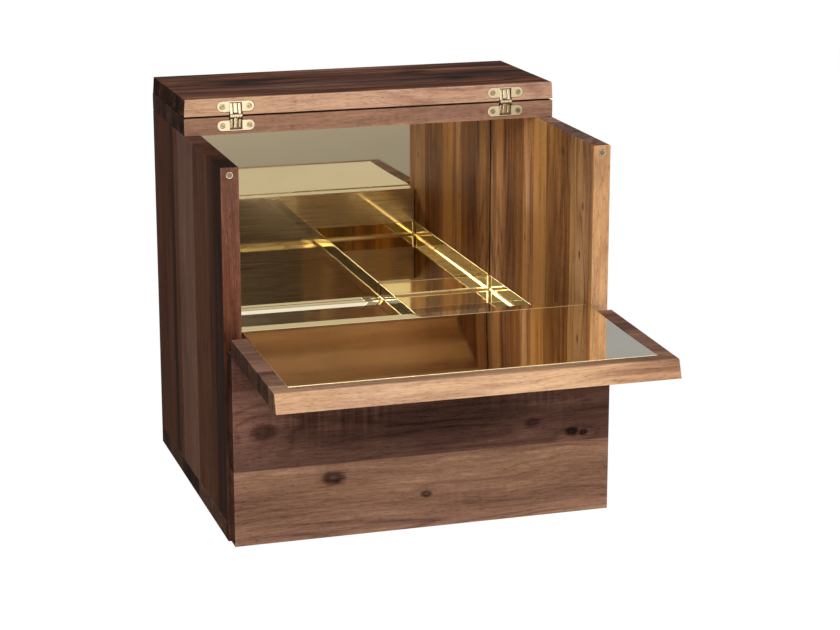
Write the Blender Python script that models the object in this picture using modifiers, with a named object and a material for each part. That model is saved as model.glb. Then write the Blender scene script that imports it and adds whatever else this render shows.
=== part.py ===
"""Walnut bar cabinet, open as photographed: folding lid, drop flap, sliding brass tray."""
import math

import bmesh
import bpy
from mathutils import Matrix, Vector

# Driving dimensions in millimetres, measured from the left front bottom corner of the body
MM = 0.001
WIDTH = 450.0
DEPTH = 402.0
HEIGHT = 446.3
BOARD = 20.0
FIT = 0.3
CARCASS_FRONT = 20.0
SIDE_TOP = HEIGHT - BOARD - FIT
EDGE_ROUND = 0.5

# Split of the top and the lid axis
SPLIT_Y = 211.0
LID_AXIS_Y = 210.6
LID_AXIS_Z = HEIGHT + 1.1
LID_FRONT_Y = 21.0
LID_BACK_Y = 210.2
LID_TAPER = 1.3
LID_REST_DEG = -180.55

# Lower front panel and flap, with the flap axis
PANEL_INSET = 3.2
PANEL_THICK = 19.7
PANEL_TOP = 222.0
REBATE_DEEP = 2.2
REBATE_TALL = 9.0
FLAP_AXIS_Y = 9.85
FLAP_AXIS_Z = 230.05
FLAP_BOTTOM = 240.4
FLAP_TOP_IN = 436.8
FLAP_TOP_OUT = 445.1
FLAP_REST_DEG = 91.4
SHEET = 1.2
SHEET_LEFT = 21.5
SHEET_TOP = 419.6
SHEET_TIP = 215.4

# Inside of the well
WELL_FRONT = 28.0
WELL_BACK = 46.0
CAP_TOP = 240.0
CAP_THICK = 1.0
LINING = 0.8
MIRROR_Y = 379.0
MIRROR_THICK = 2.7
RAIL_TOP = 172.0
RAIL_TALL = 4.0
RAIL_DEEP = 12.0
TRAY_LEFT = 279.6
TRAY_RIGHT = 429.2
TRAY_FRONT = 48.0
TRAY_BACK = 378.3
TRAY_TOP = 192.0
TRAY_WALL = 1.2

# Hinges and catches
LID_HINGE_X = (61.0, 390.0)
LEAF_LONG = 44.0
LEAF_TALL = 12.4
LEAF_DEEP = 12.0
NOTCH_WIDE = 16.0
NOTCH_DEEP = 6.0
KNUCKLE_R = 2.6
LID_PIN_R = 1.2
LID_BORE_R = 1.5
FLAP_HINGE_X = (70.0, 380.0)
FLAP_HINGE_LONG = 50.0
FLAP_KNUCKLE_R = 5.0
FLAP_PIN_R = 2.4
FLAP_BORE_R = 2.7
CATCH_R = 4.0
CATCH_Z = 417.5

# Row frame: origin under the middle of the whole open envelope
MID_X = WIDTH / 2
MID_Y = 98.644

WALNUT = ((0.105, 0.050, 0.028), 0.45, 0.0)
WALNUT_DARK = ((0.060, 0.029, 0.018), 0.48, 0.0)
BRASS = ((0.66, 0.46, 0.16), 0.16, 1.0)
MIRROR = ((0.78, 0.74, 0.64), 0.03, 1.0)
STEEL = ((0.55, 0.54, 0.52), 0.3, 1.0)

for old in list(bpy.data.objects):
    bpy.data.objects.remove(old, do_unlink=True)

parts = bpy.data.collections.new("bar_cabinet")
cutters = bpy.data.collections.new("cutters")
bpy.context.scene.collection.children.link(parts)
bpy.context.scene.collection.children.link(cutters)
cutters.hide_render = True


def place(x, y, z):
    """Millimetres in the cabinet to metres in the row frame."""
    return Vector(((x - MID_X) * MM, (y - MID_Y) * MM, z * MM))


def make_material(name, look):
    """One Principled material."""
    colour, rough, metal = look
    mat = bpy.data.materials.new("mat_" + name)
    mat.use_nodes = True
    node = mat.node_tree.nodes["Principled BSDF"]
    node.inputs["Base Color"].default_value = (*colour, 1.0)
    node.inputs["Roughness"].default_value = rough
    node.inputs["Metallic"].default_value = metal
    mat.diffuse_color = (*colour, 1.0)
    return mat


def from_bmesh(name, bm, collection):
    """Finish a bmesh into a linked object."""
    bmesh.ops.recalc_face_normals(bm, faces=bm.faces)
    mesh = bpy.data.meshes.new(name)
    bm.to_mesh(mesh)
    bm.free()
    obj = bpy.data.objects.new(name, mesh)
    collection.objects.link(obj)
    return obj


def prism(name, profile, x0, x1, collection):
    """Extrude a (y, z) profile along X; a third number pulls that point in at both ends."""
    bm = bmesh.new()
    rows = []
    for x, sign in ((x0, 1.0), (x1, -1.0)):
        row = []
        for point in profile:
            inset = point[2] * sign if len(point) > 2 else 0.0
            row.append(bm.verts.new(place(x + inset, point[0], point[1])))
        rows.append(row)
    bm.faces.new(rows[0])
    bm.faces.new(list(reversed(rows[1])))
    count = len(profile)
    for i in range(count):
        j = (i + 1) % count
        bm.faces.new((rows[0][i], rows[1][i], rows[1][j], rows[0][j]))
    return from_bmesh(name, bm, collection)


def block(name, x, y, z, collection):
    """Axis aligned box from three (low, high) pairs."""
    return prism(name, [(y[0], z[0]), (y[1], z[0]), (y[1], z[1]), (y[0], z[1])], x[0], x[1], collection)


def rod(name, x, y, z, radius, collection, sides=32):
    """Cylinder along X."""
    ring = []
    for i in range(sides):
        a = 2 * math.pi * i / sides
        ring.append((y + radius * math.cos(a), z + radius * math.sin(a)))
    return prism(name, ring, x[0], x[1], collection)


def disc_y(name, x, y, z, radius, collection, sides=32):
    """Cylinder along Y between y[0] and y[1]."""
    bm = bmesh.new()
    rows = []
    for depth in y:
        row = []
        for i in range(sides):
            a = 2 * math.pi * i / sides
            row.append(bm.verts.new(place(x + radius * math.cos(a), depth, z + radius * math.sin(a))))
        rows.append(row)
    bm.faces.new(rows[0])
    bm.faces.new(list(reversed(rows[1])))
    for i in range(sides):
        j = (i + 1) % sides
        bm.faces.new((rows[0][i], rows[1][i], rows[1][j], rows[0][j]))
    return from_bmesh(name, bm, collection)


def stadium(name, x, y, z, length, tall, collection, steps=12):
    """Oblong with round ends, facing along Y."""
    radius = tall / 2
    reach = length / 2 - radius
    outline = []
    for i in range(steps + 1):
        a = -math.pi / 2 + math.pi * i / steps
        outline.append((x + reach + radius * math.cos(a), z + radius * math.sin(a)))
    for i in range(steps + 1):
        a = math.pi / 2 + math.pi * i / steps
        outline.append((x - reach + radius * math.cos(a), z + radius * math.sin(a)))
    bm = bmesh.new()
    rows = [[bm.verts.new(place(px, depth, pz)) for px, pz in outline] for depth in y]
    bm.faces.new(rows[0])
    bm.faces.new(list(reversed(rows[1])))
    count = len(outline)
    for i in range(count):
        j = (i + 1) % count
        bm.faces.new((rows[0][i], rows[1][i], rows[1][j], rows[0][j]))
    return from_bmesh(name, bm, collection)


def apply_modifier(obj, name):
    """Apply one modifier on an object."""
    bpy.ops.object.select_all(action="DESELECT")
    bpy.context.view_layer.objects.active = obj
    obj.select_set(True)
    bpy.ops.object.modifier_apply(modifier=name)


def combine(obj, other, operation):
    """Exact Boolean with a cutter that stays in the cutter collection."""
    mod = obj.modifiers.new("Bool", "BOOLEAN")
    mod.operation = operation
    mod.solver = "EXACT"
    mod.object = other
    apply_modifier(obj, mod.name)
    other.display_type = "WIRE"
    other.hide_render = True


def soften(obj, width=EDGE_ROUND, segments=2):
    """Small rounded arris on the board edges."""
    mod = obj.modifiers.new("Bevel", "BEVEL")
    mod.width = width * MM
    mod.segments = segments
    mod.limit_method = "ANGLE"
    mod.angle_limit = math.radians(40)
    apply_modifier(obj, mod.name)


def swing(obj, axis_y, axis_z, degrees):
    """Turn the mesh about an X axis line and put the origin on that line."""
    centre = place(MID_X, axis_y, axis_z)
    turn = Matrix.Rotation(math.radians(degrees), 4, "X")
    obj.data.transform(turn @ Matrix.Translation(-centre))
    obj.location = centre


def finish(obj, look):
    """Assign the material."""
    obj.data.materials.clear()
    obj.data.materials.append(make_material(obj.name, look))
    return obj


# Carcass boards
bottom = block("bottom_board", (0, WIDTH), (CARCASS_FRONT, DEPTH), (0, BOARD), parts)
soften(bottom)
finish(bottom, WALNUT)

side_z = (BOARD + FIT, SIDE_TOP)
for side, low in (("left", 0.0), ("right", WIDTH - BOARD)):
    panel = block("side_" + side, (low, low + BOARD), (CARCASS_FRONT, DEPTH), side_z, parts)
    soften(panel)
    hole = disc_y("cut_catch_" + side, low + BOARD / 2, (CARCASS_FRONT - 1, CARCASS_FRONT + 3.0), CATCH_Z,
                  CATCH_R + FIT, cutters)
    combine(panel, hole, "DIFFERENCE")
    finish(panel, WALNUT)
    catch = disc_y("catch_" + side, low + BOARD / 2, (CARCASS_FRONT, CARCASS_FRONT + 3.0 - FIT), CATCH_Z,
                   CATCH_R, parts)
    finish(catch, BRASS)

inner_x = (BOARD + FIT, WIDTH - BOARD - FIT)
back = block("back_board", inner_x, (MIRROR_Y + MIRROR_THICK + FIT, DEPTH), side_z, parts)
soften(back)
finish(back, WALNUT)
finish(block("mirror", (inner_x[0] + 0.2, inner_x[1] - 0.2), (MIRROR_Y, MIRROR_Y + MIRROR_THICK),
             (RAIL_TOP + FIT, SIDE_TOP - 0.3), parts), MIRROR)
finish(block("back_lining", (inner_x[0] + 0.2, inner_x[1] - 0.2), (MIRROR_Y, MIRROR_Y + MIRROR_THICK),
             (BOARD + FIT, RAIL_TOP), parts), BRASS)

# Well front with brass lining, cap and the two tray rails
well_board = block("well_front", inner_x, (WELL_FRONT, WELL_BACK), (BOARD + FIT, CAP_TOP - CAP_THICK - FIT), parts)
soften(well_board)
finish(well_board, WALNUT)
lining_y = (WELL_BACK + FIT, WELL_BACK + FIT + LINING)
finish(block("front_lining", (inner_x[0] + 0.2, inner_x[1] - 0.2), lining_y,
             (BOARD + FIT, CAP_TOP - CAP_THICK - FIT), parts), BRASS)
cap = block("rim_cap", (inner_x[0] + 0.2, inner_x[1] - 0.2), (WELL_FRONT, lining_y[1]),
            (CAP_TOP - CAP_THICK, CAP_TOP), parts)
soften(cap, 0.3)
finish(cap, BRASS)
rail_z = (RAIL_TOP - RAIL_TALL, RAIL_TOP)
rail_x = (inner_x[0] + 0.2, inner_x[1] - 0.2)
front_rail = block("rail_front", rail_x, (lining_y[1] + FIT, lining_y[1] + FIT + RAIL_DEEP), rail_z, parts)
back_rail = block("rail_back", rail_x, (MIRROR_Y - FIT - RAIL_DEEP, MIRROR_Y - FIT), rail_z, parts)
for rail in (front_rail, back_rail):
    soften(rail, 0.4)
    finish(rail, BRASS)

# Sliding tray of folded sheet
tray = block("tray", (TRAY_LEFT, TRAY_RIGHT), (TRAY_FRONT, TRAY_BACK), (RAIL_TOP + FIT, TRAY_TOP), parts)
hollow = block("cut_tray", (TRAY_LEFT + TRAY_WALL, TRAY_RIGHT - TRAY_WALL),
               (TRAY_FRONT + TRAY_WALL, TRAY_BACK - TRAY_WALL),
               (RAIL_TOP + FIT + TRAY_WALL, TRAY_TOP + 5), cutters)
combine(tray, hollow, "DIFFERENCE")
finish(tray, BRASS)

# Fixed rear half of the top
top_z = (HEIGHT - BOARD, HEIGHT)
top_rear = block("top_rear", (0, WIDTH), (SPLIT_Y, DEPTH), top_z, parts)
soften(top_rear)

# Folding front half, drawn closed; its inner face is a little smaller
lid_profile = [
    (LID_FRONT_Y + LID_TAPER, top_z[0], LID_TAPER),
    (LID_BACK_Y, top_z[0], LID_TAPER),
    (LID_BACK_Y, top_z[1]),
    (LID_FRONT_Y, top_z[1]),
]
lid = prism("lid_front", lid_profile, 0.0, WIDTH, parts)
soften(lid)

# Concealed link hinges of the lid
leaf_z = (top_z[0] + top_z[1]) / 2
for tag, hx in zip(("left", "right"), LID_HINGE_X):
    pocket = stadium("cut_leaf_fixed_" + tag, hx, (SPLIT_Y - 1, SPLIT_Y + LEAF_DEEP + FIT), leaf_z,
                     LEAF_LONG + 2 * FIT, LEAF_TALL + 2 * FIT, cutters)
    combine(top_rear, pocket, "DIFFERENCE")
    notch = block("cut_notch_fixed_" + tag, (hx - NOTCH_WIDE / 2, hx + NOTCH_WIDE / 2),
                  (SPLIT_Y - 1, SPLIT_Y + NOTCH_DEEP), (leaf_z, HEIGHT + 1), cutters)
    combine(top_rear, notch, "DIFFERENCE")
    pocket = stadium("cut_leaf_moving_" + tag, hx, (LID_BACK_Y - LEAF_DEEP - FIT, LID_BACK_Y + 1), leaf_z,
                     LEAF_LONG + 2 * FIT, LEAF_TALL + 2 * FIT, cutters)
    combine(lid, pocket, "DIFFERENCE")
    notch = block("cut_notch_moving_" + tag, (hx - NOTCH_WIDE / 2, hx + NOTCH_WIDE / 2),
                  (LID_BACK_Y - NOTCH_DEEP, LID_BACK_Y + 1), (leaf_z, HEIGHT + 1), cutters)
    combine(lid, notch, "DIFFERENCE")

    arms_fixed = ((hx - 2.5, hx + 2.5),)
    arms_moving = ((hx - 6.9, hx - 2.9), (hx + 2.9, hx + 6.9))
    leaf_specs = (
        ("fixed", (SPLIT_Y, SPLIT_Y + LEAF_DEEP), arms_fixed, arms_moving, (SPLIT_Y + 0.2, SPLIT_Y + 4.6)),
        ("moving", (LID_BACK_Y - LEAF_DEEP, LID_BACK_Y), arms_moving, arms_fixed,
         (LID_BACK_Y - 4.6, LID_BACK_Y - 0.2)),
    )
    for kind, leaf_y, own_arms, other_arms, neck_y in leaf_specs:
        leaf = stadium("lid_leaf_" + kind + "_" + tag, hx, leaf_y, leaf_z, LEAF_LONG, LEAF_TALL, parts)
        for n, arm_x in enumerate(own_arms):
            neck = prism("add_neck_%s_%s_%d" % (kind, tag, n),
                         [(neck_y[0], leaf_z), (neck_y[1], leaf_z), (neck_y[1], LID_AXIS_Z - 1.0),
                          (neck_y[0], LID_AXIS_Z - 1.0)], arm_x[0], arm_x[1], cutters)
            combine(leaf, neck, "UNION")
            knuckle = rod("add_knuckle_%s_%s_%d" % (kind, tag, n), arm_x, LID_AXIS_Y, LID_AXIS_Z, KNUCKLE_R, cutters)
            combine(leaf, knuckle, "UNION")
        bore = rod("cut_bore_%s_%s" % (kind, tag), (hx - 9, hx + 9), LID_AXIS_Y, LID_AXIS_Z, LID_BORE_R, cutters)
        combine(leaf, bore, "DIFFERENCE")
        if kind == "moving":
            swing(leaf, LID_AXIS_Y, LID_AXIS_Z, LID_REST_DEG)
        finish(leaf, BRASS)
    pin = rod("lid_pin_" + tag, (hx - 7.2, hx + 7.2), LID_AXIS_Y, LID_AXIS_Z, LID_PIN_R, parts)
    finish(pin, STEEL)

finish(top_rear, WALNUT)
swing(lid, LID_AXIS_Y, LID_AXIS_Z, LID_REST_DEG)
finish(lid, WALNUT)

# Lower front panel with the rebate that clears the flap's sheet
panel_x = (PANEL_INSET, WIDTH - PANEL_INSET)
panel_profile = [
    (0, 0), (PANEL_THICK, 0), (PANEL_THICK, PANEL_TOP - REBATE_TALL),
    (PANEL_THICK - REBATE_DEEP, PANEL_TOP - REBATE_TALL), (PANEL_THICK - REBATE_DEEP, PANEL_TOP), (0, PANEL_TOP),
]
front_panel = prism("front_panel", panel_profile, panel_x[0], panel_x[1], parts)
soften(front_panel)
finish(front_panel, WALNUT)

# Drop flap, drawn closed, with its inlaid sheet
flap_profile = [
    (0, FLAP_BOTTOM), (PANEL_THICK, FLAP_BOTTOM), (PANEL_THICK, FLAP_TOP_IN), (0, FLAP_TOP_OUT),
]
flap = prism("flap", flap_profile, panel_x[0], panel_x[1], parts)
soften(flap)
sheet_x = (SHEET_LEFT, WIDTH - SHEET_LEFT)
inlay = block("cut_inlay", (sheet_x[0] - FIT, sheet_x[1] + FIT),
              (PANEL_THICK - SHEET - FIT, PANEL_THICK + 2), (FLAP_BOTTOM - 2, SHEET_TOP + FIT), cutters)
combine(flap, inlay, "DIFFERENCE")
sheet = block("flap_sheet", sheet_x, (PANEL_THICK - SHEET, PANEL_THICK), (SHEET_TIP, SHEET_TOP), parts)
soften(sheet, 0.3)

# Butt hinges of the flap
for tag, hx in zip(("left", "right"), FLAP_HINGE_X):
    half = FLAP_HINGE_LONG / 2
    base = block("flap_leaf_fixed_" + tag, (hx - half, hx + half), (3.0, 16.5),
                 (PANEL_TOP + FIT, PANEL_TOP + FIT + 1.6), parts)
    moving = block("flap_leaf_moving_" + tag, (hx - half, hx + half), (3.0, 16.5),
                   (FLAP_BOTTOM - FIT - 1.6, FLAP_BOTTOM - FIT), parts)
    fixed_arms = ((hx - half, hx - 10.3), (hx + 10.3, hx + half))
    for n, arm_x in enumerate(fixed_arms):
        web = block("add_web_fixed_%s_%d" % (tag, n), arm_x, (FLAP_AXIS_Y - 2.5, FLAP_AXIS_Y + 2.5),
                    (PANEL_TOP + FIT + 0.4, FLAP_AXIS_Z - 3.6), cutters)
        combine(base, web, "UNION")
        barrel = rod("add_barrel_fixed_%s_%d" % (tag, n), arm_x, FLAP_AXIS_Y, FLAP_AXIS_Z, FLAP_KNUCKLE_R, cutters)
        combine(base, barrel, "UNION")
    web = block("add_web_moving_" + tag, (hx - 10, hx + 10), (FLAP_AXIS_Y - 2.5, FLAP_AXIS_Y + 2.5),
                (FLAP_AXIS_Z + 3.6, FLAP_BOTTOM - FIT - 0.4), cutters)
    combine(moving, web, "UNION")
    barrel = rod("add_barrel_moving_" + tag, (hx - 10, hx + 10), FLAP_AXIS_Y, FLAP_AXIS_Z, FLAP_KNUCKLE_R, cutters)
    combine(moving, barrel, "UNION")
    bore = rod("cut_flap_bore_" + tag, (hx - half - 2, hx + half + 2), FLAP_AXIS_Y, FLAP_AXIS_Z, FLAP_BORE_R, cutters)
    combine(base, bore, "DIFFERENCE")
    combine(moving, bore, "DIFFERENCE")
    swing(moving, FLAP_AXIS_Y, FLAP_AXIS_Z, FLAP_REST_DEG)
    finish(base, BRASS)
    finish(moving, BRASS)
    pin = rod("flap_pin_" + tag, (hx - half, hx + half), FLAP_AXIS_Y, FLAP_AXIS_Z, FLAP_PIN_R, parts)
    finish(pin, STEEL)

swing(flap, FLAP_AXIS_Y, FLAP_AXIS_Z, FLAP_REST_DEG)
finish(flap, WALNUT)
swing(sheet, FLAP_AXIS_Y, FLAP_AXIS_Z, FLAP_REST_DEG)
finish(sheet, BRASS)
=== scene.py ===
"""Looks of the walnut bar cabinet.

Walnut and metal finishes, the folded tray, the lid's hinges with their screws, the flap's sheet, the catches,
the thin brass trim inside, and the stage with its lamps and camera.
"""

import logging
import math
from collections.abc import Callable, Iterable, Sequence
from dataclasses import dataclass, field
from enum import Enum

import bpy
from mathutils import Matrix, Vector


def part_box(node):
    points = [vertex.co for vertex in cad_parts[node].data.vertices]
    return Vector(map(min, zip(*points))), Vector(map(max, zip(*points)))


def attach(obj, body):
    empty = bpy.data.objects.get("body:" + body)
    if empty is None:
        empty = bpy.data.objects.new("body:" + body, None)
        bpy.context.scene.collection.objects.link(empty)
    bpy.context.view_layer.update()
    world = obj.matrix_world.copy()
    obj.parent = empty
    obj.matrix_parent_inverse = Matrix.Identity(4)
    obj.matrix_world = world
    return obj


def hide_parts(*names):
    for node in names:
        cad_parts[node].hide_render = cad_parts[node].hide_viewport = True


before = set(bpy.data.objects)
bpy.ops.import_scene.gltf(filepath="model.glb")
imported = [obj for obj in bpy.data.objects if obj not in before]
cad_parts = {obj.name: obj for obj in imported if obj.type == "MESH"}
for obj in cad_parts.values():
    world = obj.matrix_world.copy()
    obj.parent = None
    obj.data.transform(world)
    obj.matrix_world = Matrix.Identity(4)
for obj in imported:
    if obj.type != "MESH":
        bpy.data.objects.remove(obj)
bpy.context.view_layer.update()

LOG = logging.getLogger("bar_cabinet")

# Sizes written with MM are metres; plain ones are millimetres, places from the left front bottom corner
MM = 0.001
CABINET_MID_X = 225.0
CABINET_MID_Y = 98.644

# Picking and rounding faces and edges, and shading them
NEAR = 0.05 * MM
FACING = 0.9
FLAT = 0.995
ROUND_PROFILE = 0.5
SMOOTH_DEGREES = 40.0
TURNED_DEGREES = 35.0

NOISE_MIDDLE = 0.5
QUARTER = math.radians(90.0)

Colour = tuple[float, float, float, float]
Triple = tuple[float, float, float]
Span = tuple[float, float]
Stops = Sequence[tuple[float, Colour]]
Wire = bpy.types.NodeSocket
Piece = bpy.types.Object
Finish = bpy.types.Material
FaceTest = Callable[[bpy.types.MeshPolygon], bool]
EdgeTest = Callable[[Vector, Vector], bool]
Operator = Callable[..., object]


def rgb(red: float, green: float, blue: float) -> Colour:
    """Return an opaque linear colour."""
    return (red, green, blue, 1.0)


def at(x: float, y: float, z: float) -> Vector:
    """Return a point of the cabinet, given in its millimetres, in the frame."""
    return Vector(((x - CABINET_MID_X) * MM, (y - CABINET_MID_Y) * MM, z * MM))


@dataclass(frozen=True)
class Noise:
    """A noise pattern.

    Attributes:
        scale: Cycles a metre along each axis.
        detail: Octaves.
        rough: Weight of the finer octaves.
    """

    scale: Triple
    detail: float = 1.0
    rough: float = 0.5


@dataclass(frozen=True)
class Band:
    """A range of values and what it is mapped to.

    Attributes:
        low: Start of the range.
        high: End of the range.
        first: Result up to the start.
        last: Result from the end on.
        smooth: Ease in and out.
    """

    low: float
    high: float
    first: float = 0.0
    last: float = 1.0
    smooth: bool = False


class Graph:
    """Adds nodes to one node tree and wires them."""

    def __init__(self, tree: bpy.types.NodeTree) -> None:
        """Keep the tree that the nodes go into."""
        self.tree = tree

    def node(self, kind: str, *values: object, **settings: object) -> bpy.types.Node:
        """Add one node.

        Args:
            kind: Blender's node type name.
            *values: Sources of its first inputs, in order.
            **settings: Properties set on it.

        Returns:
            The new node.
        """
        made = self.tree.nodes.new(kind)
        for name, value in settings.items():
            setattr(made, name, value)
        for socket, value in zip(made.inputs, values):
            self.feed(socket, value)
        return made

    def feed(self, socket: Wire, source: object) -> None:
        """Link a socket to another, or set its own value.

        Args:
            socket: Input socket that is fed.
            source: Output socket, or a plain value.
        """
        if isinstance(source, Wire):
            self.tree.links.new(source, socket)
        else:
            socket.default_value = source

    def feed_named(self, sockets: Iterable[Wire], sources: dict[str, object]) -> None:
        """Feed sockets by their names.

        Args:
            sockets: Input sockets.
            sources: Source of each one that is fed, under its name in lower case.
        """
        for socket in sockets:
            if socket.name.lower() in sources:
                self.feed(socket, sources[socket.name.lower()])

    def math(self, operation: str, *values: object) -> Wire:
        """Return the result of a Math node fed with the values."""
        return self.node("ShaderNodeMath", *values, operation=operation).outputs[0]

    def plus(self, base: object, pattern: object, depth: object) -> Wire:
        """Return a value with a pattern added at some depth."""
        return self.math("MULTIPLY_ADD", pattern, depth, base)

    def sway(self, base: object, pattern: Wire, depth: object) -> Wire:
        """Return a value moved both ways by a noise pattern."""
        return self.plus(base, self.math("SUBTRACT", pattern, NOISE_MIDDLE), depth)

    def vector(self, operation: str, *values: object) -> Wire:
        """Return the vector result of a Vector Math node fed with the values."""
        return self.node("ShaderNodeVectorMath", *values, operation=operation).outputs[0]

    def length(self, vector: Wire) -> Wire:
        """Return a vector's length."""
        return self.node("ShaderNodeVectorMath", vector, operation="LENGTH").outputs["Value"]

    def parts(self, vector: Wire) -> bpy.types.NodeOutputs:
        """Return the X, Y and Z outputs of a split vector."""
        return self.node("ShaderNodeSeparateXYZ", vector).outputs

    def joined(self, x: object, y: object, z: object) -> Wire:
        """Return a vector joined from three values."""
        return self.node("ShaderNodeCombineXYZ", x, y, z).outputs[0]

    def noise(self, place: Wire, pattern: Noise) -> Wire:
        """Add a noise texture.

        Args:
            place: Coordinates in metres.
            pattern: Its scale and detail.

        Returns:
            The noise value, about 0 to 1.
        """
        scaled = self.vector("MULTIPLY", place, pattern.scale)
        made = self.node("ShaderNodeTexNoise", scaled, noise_dimensions="3D")
        self.feed_named(made.inputs, {"scale": 1.0, "detail": pattern.detail, "roughness": pattern.rough})
        return made.outputs["Fac"]

    def spread(self, value: Wire, band: Band) -> Wire:
        """Return a value mapped by a band, clamped to its ends."""
        kind = "SMOOTHSTEP" if band.smooth else "LINEAR"
        return self.node("ShaderNodeMapRange", value, band.low, band.high, band.first, band.last,
                         interpolation_type=kind, clamp=True).outputs["Result"]

    def blend(self, factor: object, one: Wire, other: Wire, mode: str = "MIX") -> Wire:
        """Mix two colours.

        Args:
            factor: Share of the second colour.
            one: First colour.
            other: Second colour.
            mode: Blend type.

        Returns:
            The mixed colour.
        """
        made = self.node("ShaderNodeMix", factor, data_type="RGBA", blend_type=mode)
        colours = [socket for socket in made.inputs if socket.type == "RGBA"]
        for socket, colour in zip(colours, (one, other)):
            self.feed(socket, colour)
        return next(socket for socket in made.outputs if socket.type == "RGBA")

    def ramp(self, value: Wire, stops: Stops, steps: bool = False) -> Wire:
        """Colour a value by a ramp.

        Args:
            value: Position on the ramp, 0 to 1.
            stops: Position and colour of each stop, in order.
            steps: Hold each colour up to the next stop.

        Returns:
            The ramp's colour.
        """
        made = self.node("ShaderNodeValToRGB", value)
        band = made.color_ramp
        band.interpolation = "CONSTANT" if steps else "LINEAR"
        band.elements[0].position, band.elements[0].color = stops[0]
        band.elements[1].position, band.elements[1].color = stops[-1]
        for position, colour in stops[1:-1]:
            band.elements.new(position).color = colour
        return made.outputs[0]

    def group(self, tree: bpy.types.NodeTree, **sources: object) -> bpy.types.NodeOutputs:
        """Place a node group.

        Args:
            tree: Group to place.
            **sources: Source of each input, under its name in lower case.

        Returns:
            The group's outputs.
        """
        made = self.node("ShaderNodeGroup", node_tree=tree)
        self.feed_named(made.inputs, sources)
        return made.outputs

    def surface(self, shader: bpy.types.Node, look: bpy.types.NodeOutputs, bump: float, deep: float) -> None:
        """Feed a Principled shader from a group.

        Args:
            shader: The shader.
            look: Outputs of the group.
            bump: Strength of the bumps.
            deep: Depth of the bumps.
        """
        bumps = self.node("ShaderNodeBump")
        self.feed_named(bumps.inputs, {"strength": bump, "distance": deep, "height": look["Height"]})
        self.feed(shader.inputs["Base Color"], look["Color"])
        self.feed(shader.inputs["Roughness"], look["Roughness"])
        self.feed(shader.inputs["Normal"], bumps.outputs["Normal"])

    def mixed(self, share: Wire, one: bpy.types.Node, other: bpy.types.Node) -> Wire:
        """Return two shaders mixed by a share of the second one."""
        return self.node("ShaderNodeMixShader", share, one.outputs[0], other.outputs[0]).outputs[0]


def new_material(name: str) -> tuple[Finish, Graph, bpy.types.Node]:
    """Start a material.

    Args:
        name: Its name.

    Returns:
        The material, its graph and its Principled shader.
    """
    made = bpy.data.materials.new(name)
    made.use_nodes = True
    return made, Graph(made.node_tree), made.node_tree.nodes["Principled BSDF"]


class Socket(Enum):
    """Kinds of group sockets."""

    VALUE = "NodeSocketFloat"
    COLOUR = "NodeSocketColor"
    VECTOR = "NodeSocketVector"


# Names of a group's sockets by their kind, with spaces between them
Sockets = dict[Socket, str]
SURFACE: Sockets = {Socket.COLOUR: "Color", Socket.VALUE: "Roughness Height"}


class EffectGroup:
    """A shader node group with named inputs and outputs."""

    def __init__(self, name: str, takes: Sockets, gives: Sockets) -> None:
        """Make the group's tree and its sockets.

        Args:
            name: Group name.
            takes: Its inputs.
            gives: Its outputs.
        """
        self.tree = bpy.data.node_groups.new(name, "ShaderNodeTree")
        for way, sockets in (("INPUT", takes), ("OUTPUT", gives)):
            for kind, labels in sockets.items():
                for label in labels.split():
                    self.tree.interface.new_socket(label, in_out=way, socket_type=kind.value)
        self.graph = Graph(self.tree)
        self.inputs = self.graph.node("NodeGroupInput").outputs
        self.results = self.graph.node("NodeGroupOutput").inputs

    def put_out(self, **results: object) -> bpy.types.NodeTree:
        """Feed the outputs, each under its name in lower case, and return the finished tree."""
        self.graph.feed_named(self.results, results)
        return self.tree


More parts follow.
